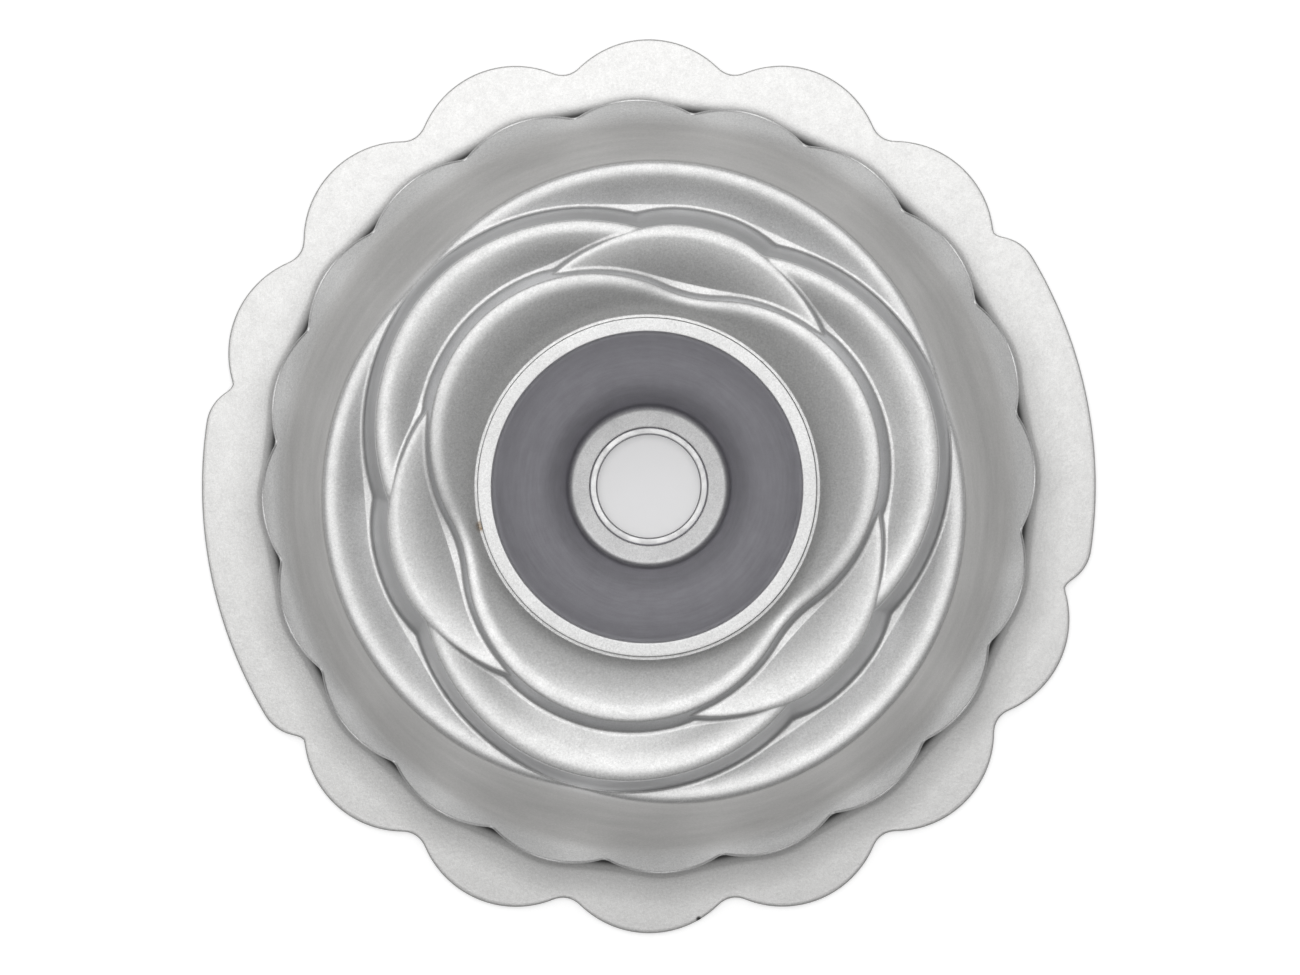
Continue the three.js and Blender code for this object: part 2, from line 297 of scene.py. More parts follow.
def tier_heights(radii, angle, outlines, index, stop=None):
    """Height of one tier over a grid of radii, with its steep outside carried down for ever. The
    dish stays level inside the stop, and the lip dives where an upper tier reaches past it."""
    tier = TIERS[index]
    outline = outlines[index]
    held = radii if stop is None else np.maximum(radii, np.minimum(stop, outline))
    if index == len(TIERS) - 1:
        dish, lip = crown_dish(held, outline)
    else:
        past = np.maximum(np.max(outlines[index + 1 :], axis=0) - outline, 0.0)
        lip = tier["lip"] - TUCK * past
        gain = 1 + (tier["gain"] - 1) * toward_end(angle, index)
        dish = lip - gain * dish_fall(np.maximum(outline - held, 0.0), tier)
    out = np.maximum(radii - outline, 0.0)
    outside, _, _ = lip_outside(out, lip, lip_width(angle, index), tier["bend"], 90 - tier["draft"])
    return np.where(radii <= outline, dish, outside)


def wall_heights(radii, outline):
    """Height of the lowest lip's outside, of the slope below it and of the flare of the foot."""
    tier = TIERS[0]
    out = np.maximum(radii - outline, 0.0)
    outside, width, wall_top = lip_outside(out, tier["lip"], tier["outer"], tier["bend"], WALL_TILT)
    start = outline + width
    share = (radii - start) / (WAIST_RADIUS - start)
    drop = (wall_top - WAIST_HEIGHT) / (WAIST_RADIUS - start)
    inside = np.clip(share, 0.0, 1.0)
    hollow = 4 * WALL_HOLLOW * drop * inside * (1 - inside)
    slope = wall_top - (wall_top - WAIST_HEIGHT) * share - hollow
    return np.where(share < 0, outside, blend_max(slope, flare_at(radii), WAIST_BLEND))


def crease_stop(lower, upper, radii, outline, tier):
    """Outer edge of the gutter at the foot of the upper tiers' walls, smooth past their kinks."""
    over = (upper >= lower) & (radii <= outline)
    last = over.shape[1] - 1 - np.argmax(over[:, ::-1], axis=1)
    line = radii[0][last]
    pitch = 2 * math.pi / len(line) * float(np.mean(line))
    span = tier["span"]
    reach = min(int(span / pitch), len(line) // 8)
    turns = range(-reach, reach + 1)
    rises = [(turn, math.sqrt(max(span**2 - (turn * pitch) ** 2, 0.0)) - span) for turn in turns]
    grown = np.max([np.roll(line, turn) + rise for turn, rise in rises], axis=0)
    closed = np.min([np.roll(grown, turn) - rise for turn, rise in rises], axis=0)
    return (closed + tier["gutter"])[:, None]


def dilate_round(values, radius, mean_radius):
    """Heights grown by a ball, over a grid of columns round the axis."""
    pitch = mean_radius * 2 * math.pi / values.shape[0]
    reach = int(radius / pitch)
    best = None
    for turn in range(-reach, reach + 1):
        moved = np.roll(values, turn, axis=0)
        room = radius**2 - (turn * pitch) ** 2
        half = int(math.sqrt(room) / STEP)
        padded = np.pad(moved, ((0, 0), (half, half)), mode="edge")
        for shift in range(-half, half + 1):
            lift = math.sqrt(max(room - (shift * STEP) ** 2, 0.0)) - radius
            part = padded[:, half + shift : half + shift + moved.shape[1]] + lift
            best = part if best is None else np.maximum(best, part)
    return best


def close_round(values, radius, mean_radius):
    """Heights with every crease filled to a radius."""
    grown = dilate_round(values, radius, mean_radius)
    return -dilate_round(-grown, radius, mean_radius)


def inside_heights(heights, step):
    """Height of the inside, one wall below the outside in every direction of its section."""
    half = int(WALL / step)
    padded = np.pad(heights, ((0, 0), (half, half)), mode="edge")
    shifts = range(-half, half + 1)
    drops = [math.sqrt(WALL**2 - (shift * step) ** 2) for shift in shifts]
    width = heights.shape[1]
    return np.min([padded[:, half + shift :][:, :width] - drop for shift, drop in zip(shifts, drops)], axis=0)


def arc_points(radius, height, rounding, start, end, steps):
    turn = np.radians(np.linspace(start, end, steps + 1))
    return [(radius + rounding * math.cos(t), height + rounding * math.sin(t)) for t in turn]


def line_points(start, end, steps):
    """Points between two ends of a line, without the ends."""
    shares = [step / steps for step in range(1, steps)]
    return [(start[0] + (end[0] - start[0]) * s, start[1] + (end[1] - start[1]) * s) for s in shares]


def resample(points, count, bend_share):
    """Points along a polyline, closer together where it bends."""
    points = np.asarray(points)
    legs = np.diff(points, axis=0)
    lengths = np.hypot(legs[:, 0], legs[:, 1])
    headings = np.unwrap(np.arctan2(legs[:, 1], legs[:, 0]))
    along = np.concatenate(([0.0], np.cumsum(lengths)))
    turned = np.zeros(len(points))
    turned[1:-1] += np.abs(np.diff(headings)) / 2
    bends = np.concatenate(([0.0], np.cumsum(turned[:-1] + turned[1:])))
    measure = (1 - bend_share) * along / along[-1] + bend_share * bends / bends[-1]
    targets = np.linspace(0.0, measure[-1], count)
    return np.column_stack([np.interp(targets, measure, points[:, axis]) for axis in (0, 1)])


def row_radii(grids, lines, count, bend_share):
    """Radii of the rows of every column: closer together where the column bends, and averaged over
    near columns so that a row doesn't jump from one column to the next."""
    legs = np.diff(lines, axis=1)
    steps = np.diff(grids, axis=1)
    bends = np.pad(np.abs(np.diff(np.arctan2(legs, steps), axis=1)), ((0, 0), (1, 1)))
    along = np.pad(np.cumsum(np.hypot(steps, legs), axis=1), ((0, 0), (1, 0)))
    turned = np.pad(np.cumsum(bends[:, :-1] + bends[:, 1:], axis=1), ((0, 0), (1, 0)))
    measure = (1 - bend_share) * along / along[:, -1:] + bend_share * turned / turned[:, -1:]
    shared = np.mean([np.roll(measure, turn, axis=0) for turn in range(-ROW_REACH, ROW_REACH + 1)], axis=0)
    targets = np.linspace(0.0, 1.0, count)
    return np.array([np.interp(targets, share, grid) for share, grid in zip(shared, grids)])


def make_piece(name, sections, angles, node, slot):
    """A closed ring from one closed section per angle, all with the same number of points."""
    sections = np.asarray(sections)
    columns, rows, _ = sections.shape
    radii = sections[:, :, 0]
    cosines = np.cos(angles)[:, None]
    sines = np.sin(angles)[:, None]
    points = np.stack((radii * cosines, radii * sines, sections[:, :, 1]), axis=-1).reshape(-1, 3) * MM
    column, row = np.meshgrid(np.arange(columns), np.arange(rows), indexing="ij")
    here = column * rows
    after = (column + 1) % columns * rows
    above = (row + 1) % rows
    quads = np.stack((here + row, after + row, after + above, here + above), axis=-1).reshape(-1, 4)
    mesh = bpy.data.meshes.new(name)
    mesh.from_pydata(points.tolist(), [], quads.tolist())
    mesh.polygons.foreach_set("use_smooth", np.ones(len(quads), dtype=bool))
    mesh.update()
    piece = bpy.data.objects.new(name, mesh)
    bpy.context.scene.collection.objects.link(piece)
    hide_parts(node)
    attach(piece, "root")
    return piece


def shell_heights(radii, angles):
    """Height of the shell's outside: the wall, the crown and the tiers, with filled creases."""
    column = angles[:, None]
    outlines = [petal_outline(column, index) for index in range(len(TIERS))]
    plain = [tier_heights(radii, column, outlines, index) for index in range(len(TIERS))]
    wall = np.where(radii > outlines[0], wall_heights(radii, outlines[0]), NOWHERE)
    heights = np.maximum(wall, plain[-1])
    for index, tier in enumerate(TIERS[:-1]):
        upper = np.max(plain[index + 1 :], axis=0)
        stop = crease_stop(plain[index], upper, radii, outlines[index], tier)
        surface = tier_heights(radii, column, outlines, index, stop)
        hidden = radii < np.max(outlines[index + 1 :], axis=0)
        if index == 0:
            hidden = hidden | (radii > outlines[0])
        heights = np.maximum(heights, np.where(hidden, NOWHERE, surface))
    return close_round(heights, CREASE, CREASE_RADIUS)


def shell_sections(angles):
    radii = np.arange(CROWN_HOLE, FOOT_RADIUS + MARGIN, STEP)[None, :]
    heights = shell_heights(radii, angles)
    thin_radii = radii[0, ::INSIDE_COARSE]
    inner = inside_heights(heights[:, ::INSIDE_COARSE], STEP * INSIDE_COARSE)

    foot = foot_at(angles, FLUTE_BLEND)
    shoulder = shoulder_at(angles)
    top_rim = shoulder + FOOT_EDGE
    edge = FOOT_EDGE / 2
    grids = np.linspace(np.full(len(angles), CROWN_HOLE + HOLE_EDGE), foot - edge, FINE, axis=1)
    lines = np.array([np.interp(grid, radii[0], height) for grid, height in zip(grids, heights)])
    lines = np.where(grids > foot[:, None] - FOOT_FLAT, top_rim[:, None], lines)
    rows = row_radii(grids, lines, ROWS, ROW_BEND)

    hole = [
        (CROWN_HOLE, SEAT_HEIGHT - WALL + HOLE_EDGE),
        (CROWN_HOLE, SEAT_HEIGHT - HOLE_EDGE),
        (CROWN_HOLE + HOLE_BEND, SEAT_HEIGHT - HOLE_BEND),
    ]
    flare = COLLAR_FILLET + SHEET + GAP
    deep = flare + SKIRT_WALL
    flare_end = math.degrees(math.asin((BEND_HEIGHT - SKIRT_LIFT) / flare))
    deep_end = math.degrees(math.asin((BEND_HEIGHT - SKIRT_LIFT) / deep))
    sections = []
    for index, angle in enumerate(angles):
        outside = np.column_stack((rows[index], np.interp(rows[index], grids[index], lines[index])))
        brim = arc_points(foot[index] - edge, top_rim[index] - edge, edge, 90, -90, 8)[1:]
        collar = collar_top_at(angle)
        skirt = collar - SHEET - GAP
        centre = collar + COLLAR_FILLET
        low = shoulder[index]
        shelf = [(skirt + SHELF_EDGE, low), (skirt, low - SHELF_EDGE)]
        drop = [(skirt, BEND_HEIGHT + (low - BEND_HEIGHT) * share) for share in (0.75, 0.5, 0.25)]
        under = arc_points(centre, BEND_HEIGHT, flare, 180, 180 + flare_end, 8)
        back = arc_points(centre, BEND_HEIGHT, deep, 180 + deep_end, 180, 8)
        stop = skirt - SKIRT_WALL
        used = thin_radii < stop - INSIDE_END
        stop_height = np.interp(stop, thin_radii, inner[index])
        inside_radii = np.concatenate((thin_radii[used], [stop]))
        inside_line = np.concatenate((inner[index][used], [stop_height]))
        inside = resample(np.column_stack((inside_radii, inside_line))[::-1], INSIDE_ROWS, INSIDE_BEND)
        inside[-1] = (CROWN_HOLE + HOLE_EDGE, SEAT_HEIGHT - WALL)
        climb = [(stop, BEND_HEIGHT + (stop_height - BEND_HEIGHT) * share) for share in (0.25, 0.5, 0.75)]
        sections.append(np.vstack((hole, outside, brim, shelf, drop, under, back, climb, inside)))
    return sections


def plate_sections(angles):
    base = foot_at(angles, COLLAR_BLEND) - FOOT_OVERHANG
    tops = collar_top_at(angles)
    rims = plate_at(angles)
    rises = shoulder_at(angles) - GAP
    start = math.atan(2 * EASE_RISE / EASE_WIDTH)
    hub_height = SHEET + EASE_RISE + SWEEP_ROUND * math.cos(start)
    sections = []
    for foot, top, rim, rise in zip(base + SWEEP_OUT, tops, rims, rises):
        centre = top + COLLAR_FILLET
        back = top - SHEET
        flat = rim - PLATE_EDGE
        under = line_points((centre, 0.0), (flat, 0.0), 8)
        lower = arc_points(flat, PLATE_EDGE, PLATE_EDGE, -90, 0, 5)
        upper = arc_points(flat, SHEET - PLATE_EDGE, PLATE_EDGE, 0, 90, 5)
        inward = [r for r, _ in line_points((flat, SHEET), (foot, SHEET), 20)]
        over = [(r, SHEET + EASE_RISE * max(1 - (r - foot) / EASE_WIDTH, 0.0) ** 2) for r in inward]
        hub = foot + SWEEP_ROUND * math.sin(start)
        first = 270 - math.degrees(start)
        last = 270 - math.degrees(math.asin((hub - top) / SWEEP_ROUND))
        sweep = arc_points(hub, hub_height, SWEEP_ROUND, first, last, 16)
        sweep_top = sweep[-1][1]
        climb = [(top, sweep_top + (rise - COLLAR_EDGE - sweep_top) * share) for share in (0.3, 0.65)]
        head = arc_points(top - COLLAR_EDGE, rise - COLLAR_EDGE, COLLAR_EDGE, 0, 90, 3)
        tail = arc_points(back + COLLAR_EDGE, rise - COLLAR_EDGE, COLLAR_EDGE, 90, 180, 3)
        fall = [(back, rise + (BEND_HEIGHT - rise) * share) for share in (0.3, 0.55, 0.8)]
        bend = arc_points(centre, BEND_HEIGHT, COLLAR_FILLET + SHEET, 180, 270, 10)
        sections.append(np.vstack((under, lower, upper, over, sweep, climb, head, tail, fall, bend)))
    return sections


def tube_section():
    outer = TUBE_TOP + TUBE_WALL
    neck = SEAT_HEIGHT - WALL - GAP - CLINCH_HEIGHT
    clinch_top = neck + CLINCH_HEIGHT
    clinch_side = outer + CLINCH - CLINCH_EDGE
    ring_bottom = SEAT_HEIGHT + GAP
    ring_top = ring_bottom + RING_HEIGHT
    ring_side = RING_OUTER - RING_ROUND
    ring_inside = TUBE_TOP + RING_ROUND
    bend = TUBE_FOOT - TUBE_END_ROUND
    end_top = TUBE_END + TUBE_WALL
    turn = end_top + TUBE_END_ROUND
    flange = TUBE_END_EDGE + FLANGE_EDGE
    cone_top = (TUBE_TOP - NECK_IN, neck)

    points = [(TUBE_END_EDGE, TUBE_END + FLANGE_EDGE), (flange, TUBE_END)]
    points += line_points((flange, TUBE_END), (bend, TUBE_END), 4)
    points += arc_points(bend, turn, TUBE_END_ROUND + TUBE_WALL, 270, 360, 10)
    points += line_points((bend + TUBE_END_ROUND + TUBE_WALL, turn), (outer, neck), 16)
    points += [(outer, neck)]
    points += arc_points(outer, neck + CLINCH, CLINCH, -60, 0, 4)
    points += arc_points(clinch_side, clinch_top - CLINCH_EDGE, CLINCH_EDGE, 0, 90, 3)
    points += [(outer + GROOVE_EDGE, clinch_top), (outer, clinch_top + GROOVE_EDGE)]
    points += [(outer, ring_bottom - GROOVE_EDGE), (outer + GROOVE_EDGE, ring_bottom)]
    points += arc_points(ring_side, ring_bottom + RING_ROUND, RING_ROUND, -90, 0, 5)
    points += arc_points(ring_side, ring_top - RING_ROUND, RING_ROUND, 0, 90, 6)
    points += line_points((ring_side, ring_top), (ring_inside, ring_top), 6)
    points += arc_points(ring_inside, ring_top - RING_ROUND, RING_ROUND, 90, 180, 6)
    points += [(TUBE_TOP, neck + height) for height in NECK_HEIGHTS]
    points += [cone_top]
    points += line_points(cone_top, (bend + TUBE_END_ROUND, turn), 24)
    points += arc_points(bend, turn, TUBE_END_ROUND, 360, 270, 10)
    points += line_points((bend, end_top), (flange, end_top), 6)
    points += [(flange, end_top), (TUBE_END_EDGE, end_top - FLANGE_EDGE)]
    return np.array(points)


def bead_section():
    outer = TUBE_END_EDGE + BEAD_COVER
    groove = TUBE_END_EDGE - GAP
    lower = TUBE_END - GAP
    upper = TUBE_END + TUBE_WALL + GAP
    out_side = outer - BEAD_ROUND
    in_side = outer - BEAD_WIDTH + BEAD_ROUND
    bottom = lower - BEAD_LIP + BEAD_ROUND
    top = upper + BEAD_LIP - BEAD_ROUND
    points = arc_points(in_side, bottom, BEAD_ROUND, 180, 270, 6)
    points += arc_points(out_side, bottom, BEAD_ROUND, 270, 360, 6)
    points += [(outer, lower), (groove + GROOVE_EDGE, lower), (groove, lower + GROOVE_EDGE)]
    points += [(groove, upper - GROOVE_EDGE), (groove + GROOVE_EDGE, upper), (outer, upper)]
    points += arc_points(out_side, top, BEAD_ROUND, 0, 90, 8)
    points += arc_points(in_side, top, BEAD_ROUND, 90, 180, 8)
    return np.array(points)


def turn_angles(steps):
    return np.arange(steps) * 2 * math.pi / steps


def lathe(section, steps):
    return [section] * steps, turn_angles(steps)


column_angles = turn_angles(COLUMNS)
shell_skin = shell_sections(column_angles)
plate_skin = plate_sections(column_angles)
shell = make_piece("rose_shell_skin", shell_skin, column_angles, "rose_shell", "rose_shell")
plate = make_piece("rim_plate_skin", plate_skin, column_angles, "rim_plate", "rim_plate")
tube = make_piece("centre_tube_skin", *lathe(tube_section(), TUBE_STEPS), "centre_tube", "centre_tube")
bead = make_piece("tube_bead_skin", *lathe(bead_section(), BEAD_STEPS), "tube_bead", "tube_bead")


class Tree:
    """Short calls for the nodes of one node tree."""

    def __init__(self, tree):
        self.tree = tree

    def add(self, kind, inputs, **settings):
        node = self.tree.nodes.new("ShaderNode" + kind)
        for key, value in settings.items():
            setattr(node, key, value)
        for key, value in inputs.items():
            self.put(node.inputs[key], value)
        return node

    def put(self, socket, value):
        if isinstance(value, bpy.types.NodeSocket):
            self.tree.links.new(value, socket)
        else:
            socket.default_value = value

    def math(self, operation, *values):
        return self.add("Math", dict(enumerate(values)), operation=operation).outputs[0]

    def product(self, *values):
        result = values[0]
        for value in values[1:]:
            result = self.math("MULTIPLY", result, value)
        return result


class Metal(Tree):
    """Nodes of one metal, with places taken from the piece's own axes in metres."""

    def __init__(self, name):
        self.material = bpy.data.materials.new(name)
        self.material.use_nodes = True
        super().__init__(self.material.node_tree)
        self.shader = self.tree.nodes["Principled BSDF"]
        self.shader.inputs["Metallic"].default_value = 1.0
        self.place = self.add("TexCoord", {}).outputs["Object"]
        parts = self.add("SeparateXYZ", {"Vector": self.place}).outputs
        self.height = parts["Z"]
        flat = self.add("CombineXYZ", {"X": parts["X"], "Y": parts["Y"]}).outputs["Vector"]
        self.radius = self.add("VectorMath", {0: flat}, operation="LENGTH").outputs["Value"]
        self.heading = self.add("VectorMath", {0: flat}, operation="NORMALIZE").outputs["Vector"]
        normal = self.add("NewGeometry", {}).outputs["Normal"]
        self.facing_up = self.add("SeparateXYZ", {"Vector": normal}).outputs["Z"]

    def fade(self, value, span, levels):
        """A level that passes softly from the first to the last while the value crosses the span."""
        inputs = {"Value": value, "From Min": span[0], "From Max": span[1]}
        inputs.update({"To Min": levels[0], "To Max": levels[1]})
        return self.add("MapRange", inputs, interpolation_type="SMOOTHSTEP").outputs["Result"]

    def noise(self, scale, detail=2.0, place=None):
        inputs = {"Vector": place or self.place, "Scale": scale, "Detail": detail, "Roughness": 0.6}
        return self.add("TexNoise", inputs).outputs["Fac"]

    def waver(self, noise, swing):
        """A factor about 1 that follows a noise."""
        return self.math("MULTIPLY_ADD", noise, swing, 1 - swing / 2)

    def partly(self, factor, share):
        """A factor brought to 1 where its share is 0."""
        return self.math("MULTIPLY_ADD", self.math("SUBTRACT", factor, 1.0), share, 1.0)

    def streaks(self, around, up):
        """A noise with so many waves to a radian round the axis and to a metre of height."""
        turned = self.add("VectorMath", {0: self.heading, 1: (around, around, 0.0)}, operation="MULTIPLY")
        climb = self.add("CombineXYZ", {"Z": self.math("MULTIPLY", self.height, up)}).outputs["Vector"]
        place = self.add("VectorMath", {0: turned.outputs["Vector"], 1: climb}, operation="ADD")
        return self.noise(1.0, 3.0, place.outputs["Vector"])

    def spot(self, point, reach):
        """1 at a point, 0 a reach away from it."""
        away = self.add("VectorMath", {0: self.place, 1: point}, operation="DISTANCE").outputs["Value"]
        return self.fade(away, (reach, reach / 4), (0.0, 1.0))

    def near_height(self, height, span):
        """1 where the height above the table is near a given one, 0 farther away."""
        away = self.math("ABSOLUTE", self.math("SUBTRACT", self.height, height))
        return self.fade(away, span, (0.0, 1.0))

    def mix(self, share, first, last):
        return self.add("Mix", {0: share, 6: first, 7: last}, data_type="RGBA").outputs[2]

    def tinted(self, colour, tone):
        inputs = {0: 1.0, 6: colour, 7: tone}
        return self.add("Mix", inputs, data_type="RGBA", blend_type="MULTIPLY").outputs[2]

    def bump(self, height, depth):
        return self.add("Bump", {"Strength": 1.0, "Distance": depth, "Height": height}).outputs["Normal"]

    def finish(self, colour, roughness, normal):
        self.put(self.shader.inputs["Base Color"], colour)
        self.put(self.shader.inputs["Roughness"], roughness)
        self.put(self.shader.inputs["Normal"], normal)
        return self.material


def metres(values):
    return tuple(value * MM for value in values)


# Colours of the finish, with the warm and cool tints of painted reflection on the steep walls
SILVER = (0.58, 0.58, 0.577, 1)
WARM = (0.58, 0.573, 0.563, 1)
COOL = (0.575, 0.578, 0.588, 1)
SHEET_GREY = (0.505, 0.503, 0.498, 1)
CONE_BLUE = (0.288, 0.282, 0.315, 1)
RING_GREY = (0.73, 0.73, 0.727, 1)
BEAD_GREY = (0.56, 0.56, 0.558, 1)
STAIN = (0.22, 0.15, 0.08, 1)
NICK = (0.05, 0.05, 0.05, 1)

# Places and reaches of two signs of wear
STAIN_PLACE = (-47.4, -1.6, 75.8)
STAIN_REACH = 2.2
NICK_PLACE = (-10.6, -128.0, 2.0)
NICK_REACH = 1.1

# Middle part of a noise, over which a roughness changes
NOISE_SPAN = (0.25, 0.75)

# Walls of the shell: how far they face up where their smoother finish and painted shade begin and where
# they are full, on the petals and outside, and the radii between petals and outer wall and between outer wall
# and flare
PETAL_STEEP = (0.72, 0.50)
OUTER_STEEP = (0.88, 0.72)
TO_OUTER_WALL = (84.0, 90.0)
TO_FLARE = (WAIST_RADIUS - 3.5, WAIST_RADIUS + 3.5)

# Painted light and shade on the walls: lighter crown walls, lower tiers darker higher up and lighter by
# the gutters, the outer wall darker by its tilt and lighter low down, a painted reflection band, a darker
# flare
TO_LOWER_TIERS = (68.0, 71.0)
CROWN_WALL_PAINTED_LIGHT = 1.25
TIER_WALL_HEIGHTS = (62.0, 72.0)
TIER_WALL_PAINTED_SHADE = (0.85, 0.57)
GUTTER_HEIGHTS = (59.5, 63.0)
GUTTER_PAINTED_LIGHT = (1.3, 1.0)
OUTER_TILTS = (0.31, 0.42)
OUTER_PAINTED_SHADE = (0.73, 0.65)
LOW_HEIGHTS = (50.0, 21.0)
LOW_PAINTED_LIGHT = (1.0, 1.22)
BAND_HEIGHT = 34.0
BAND_SPAN = (12.0, 2.0)
BAND_REFLECTION_TONE = 0.96
FLARE_PAINTED_SHADE = 0.78


def shell_coat():
    """Satin cast metal: grainy on the petals, smoother on the steep walls, with painted light and shade on
    the walls.
    """
    make = Metal("shell_coat")

    def by_wall(petal, outer):
        return make.fade(make.radius, metres(TO_OUTER_WALL), (petal, outer))

    on_wall = make.fade(make.radius, metres(TO_FLARE), (1.0, 0.0))
    steep_span = [by_wall(petal, outer) for petal, outer in zip(PETAL_STEEP, OUTER_STEEP)]
    steep = make.math("MULTIPLY", make.fade(make.facing_up, steep_span, (0.0, 1.0)), on_wall)

    def on_steep(level):
        return make.fade(steep, (0.0, 1.0), (1.0, level))

    grain = make.noise(scale=1500.0)
    fine = make.noise(scale=3600.0, detail=1.0)
    grains = make.product(make.waver(grain, swing=0.5), make.waver(fine, swing=0.5))
    grained = make.partly(grains, on_steep(0.6))
    worn = make.waver(make.noise(scale=75.0, detail=3.0), swing=0.06)
    broad = make.waver(make.streaks(around=3.0, up=120.0), swing=0.34)
    narrow = make.waver(make.streaks(around=5.0, up=260.0), swing=0.16)

    # Painted shade and light on the petal walls: crown walls lighter, lower tiers darker higher up and
    # lighter by the gutters.
    tier_wall_shade = make.fade(make.height, metres(TIER_WALL_HEIGHTS), TIER_WALL_PAINTED_SHADE)
    gutter = make.fade(make.height, metres(GUTTER_HEIGHTS), GUTTER_PAINTED_LIGHT)
    petal_levels = (CROWN_WALL_PAINTED_LIGHT, make.product(tier_wall_shade, gutter))
    petal_wall_shade = make.fade(make.radius, metres(TO_LOWER_TIERS), petal_levels)
    # Painted shade on the outer wall by its tilt, and painted light low down by the waist.
    outer_wall_shade = make.fade(make.facing_up, OUTER_TILTS, OUTER_PAINTED_SHADE)
    wall = on_steep(by_wall(petal_wall_shade, outer_wall_shade))
    low = make.fade(make.height, metres(LOW_HEIGHTS), LOW_PAINTED_LIGHT)
    # Painted shade darkens the flare.
    flare = make.fade(make.radius, metres(TO_FLARE), (1.0, FLARE_PAINTED_SHADE))
    # A painted dark reflection band at mid-height of the steep walls.
    band = make.product(make.near_height(BAND_HEIGHT * MM, metres(BAND_SPAN)), steep)
    painted_reflection_band = make.fade(band, (0.0, 1.0), (1.0, BAND_REFLECTION_TONE))

    tone = make.product(grained, worn, on_steep(make.product(broad, narrow)), wall, low, flare, painted_reflection_band)
    # The cool tint on the petals' steep walls and the warm one on the outer wall are painted reflections of
    # the surroundings.
    tint = make.mix(steep, SILVER, make.mix(by_wall(0.0, 1.0), COOL, WARM))
    spotted = make.fade(grain, (0.35, 0.6), (0.5, 1.0))
    stained = make.product(make.spot(metres(STAIN_PLACE), STAIN_REACH * MM), spotted)
    colour = make.mix(stained, make.tinted(tint, tone), STAIN)
    matt = make.fade(make.noise(scale=220.0, detail=3.0), NOISE_SPAN, (0.39, 0.43))
    roughness = make.fade(steep, (0.0, 1.0), (matt, by_wall(0.37, 0.5)))
    return make.finish(colour, roughness, make.bump(grain, depth=0.02 * MM))


# Heights on the plate: a painted shade line at the turn up to the foot, the painted shadow on the sweep,
# that shadow lifted again on the collar above it, and the smears on both
TURN_HEIGHT = 2.38
TURN_SPAN = (0.12, 0.0)
TURN_SHADE_TONE = 0.9
SWEEP_SHADOW_HEIGHTS = (2.5, 3.2)
SWEEP_SHADOW_TONES = (1.0, 0.16)
COLLAR_SHADOW_LIFT_HEIGHTS = (4.2, 5.0)
COLLAR_SHADOW_LIFTS = (1.0, 4.0)
SMEAR_HEIGHTS = (2.5, 3.6)


def plate_coat():
    """Pale matt sheet, grainier than the shell, with a painted shadow where it sweeps up under the foot."""
    make = Metal("plate_coat")
    grain = make.noise(scale=1300.0)
    fine = make.noise(scale=3400.0, detail=1.0)
    grained = make.product(make.waver(grain, swing=0.3), make.waver(fine, swing=0.36))
    worn = make.waver(make.noise(scale=60.0, detail=3.0), swing=0.02)
    swept = make.fade(make.height, metres(SMEAR_HEIGHTS), (0.0, 1.0))
    smeared = make.partly(make.waver(make.noise(scale=330.0, detail=3.0), swing=0.25), swept)
    # A painted shade line at the turn up to the foot.
    turned = make.near_height(TURN_HEIGHT * MM, metres(TURN_SPAN))
    turn_shade = make.math("MULTIPLY_ADD", turned, TURN_SHADE_TONE - 1, 1.0)
    # Painted shadow on the sweep under the foot, lifted again on the collar above it.
    sweep = make.fade(make.height, metres(SWEEP_SHADOW_HEIGHTS), SWEEP_SHADOW_TONES)
    collar = make.fade(make.height, metres(COLLAR_SHADOW_LIFT_HEIGHTS), COLLAR_SHADOW_LIFTS)
    tone = make.product(grained, worn, smeared, turn_shade, sweep, collar)
    nick = make.spot(metres(NICK_PLACE), NICK_REACH * MM)
    colour = make.mix(nick, make.tinted(SHEET_GREY, tone), NICK)
    roughness = make.fade(make.noise(scale=300.0, detail=3.0), NOISE_SPAN, (0.33, 0.36))
    return make.finish(colour, roughness, make.bump(grain, depth=0.02 * MM))


# Parts of the tube with the brighter finish: the ring by height and radius, and the end by height and
# by how far it faces up; and the heights over which the rings change their tone and over which
# painted light lightens the foot of the cone
RING_TOP_HEIGHTS = (79.5, 79.9)
RING_RADII = (45.5, 46.2)
END_HEIGHTS = (8.5, 4.6)
END_FACING = (0.1, 1.0)
RING_TONE_HEIGHTS = (20.0, 70.0)
RING_TONES = (0.88, 1.0)
CONE_FOOT_HEIGHTS = (6.5, 24.0)
CONE_FOOT_PAINTED_LIGHT = (1.4, 1.0)


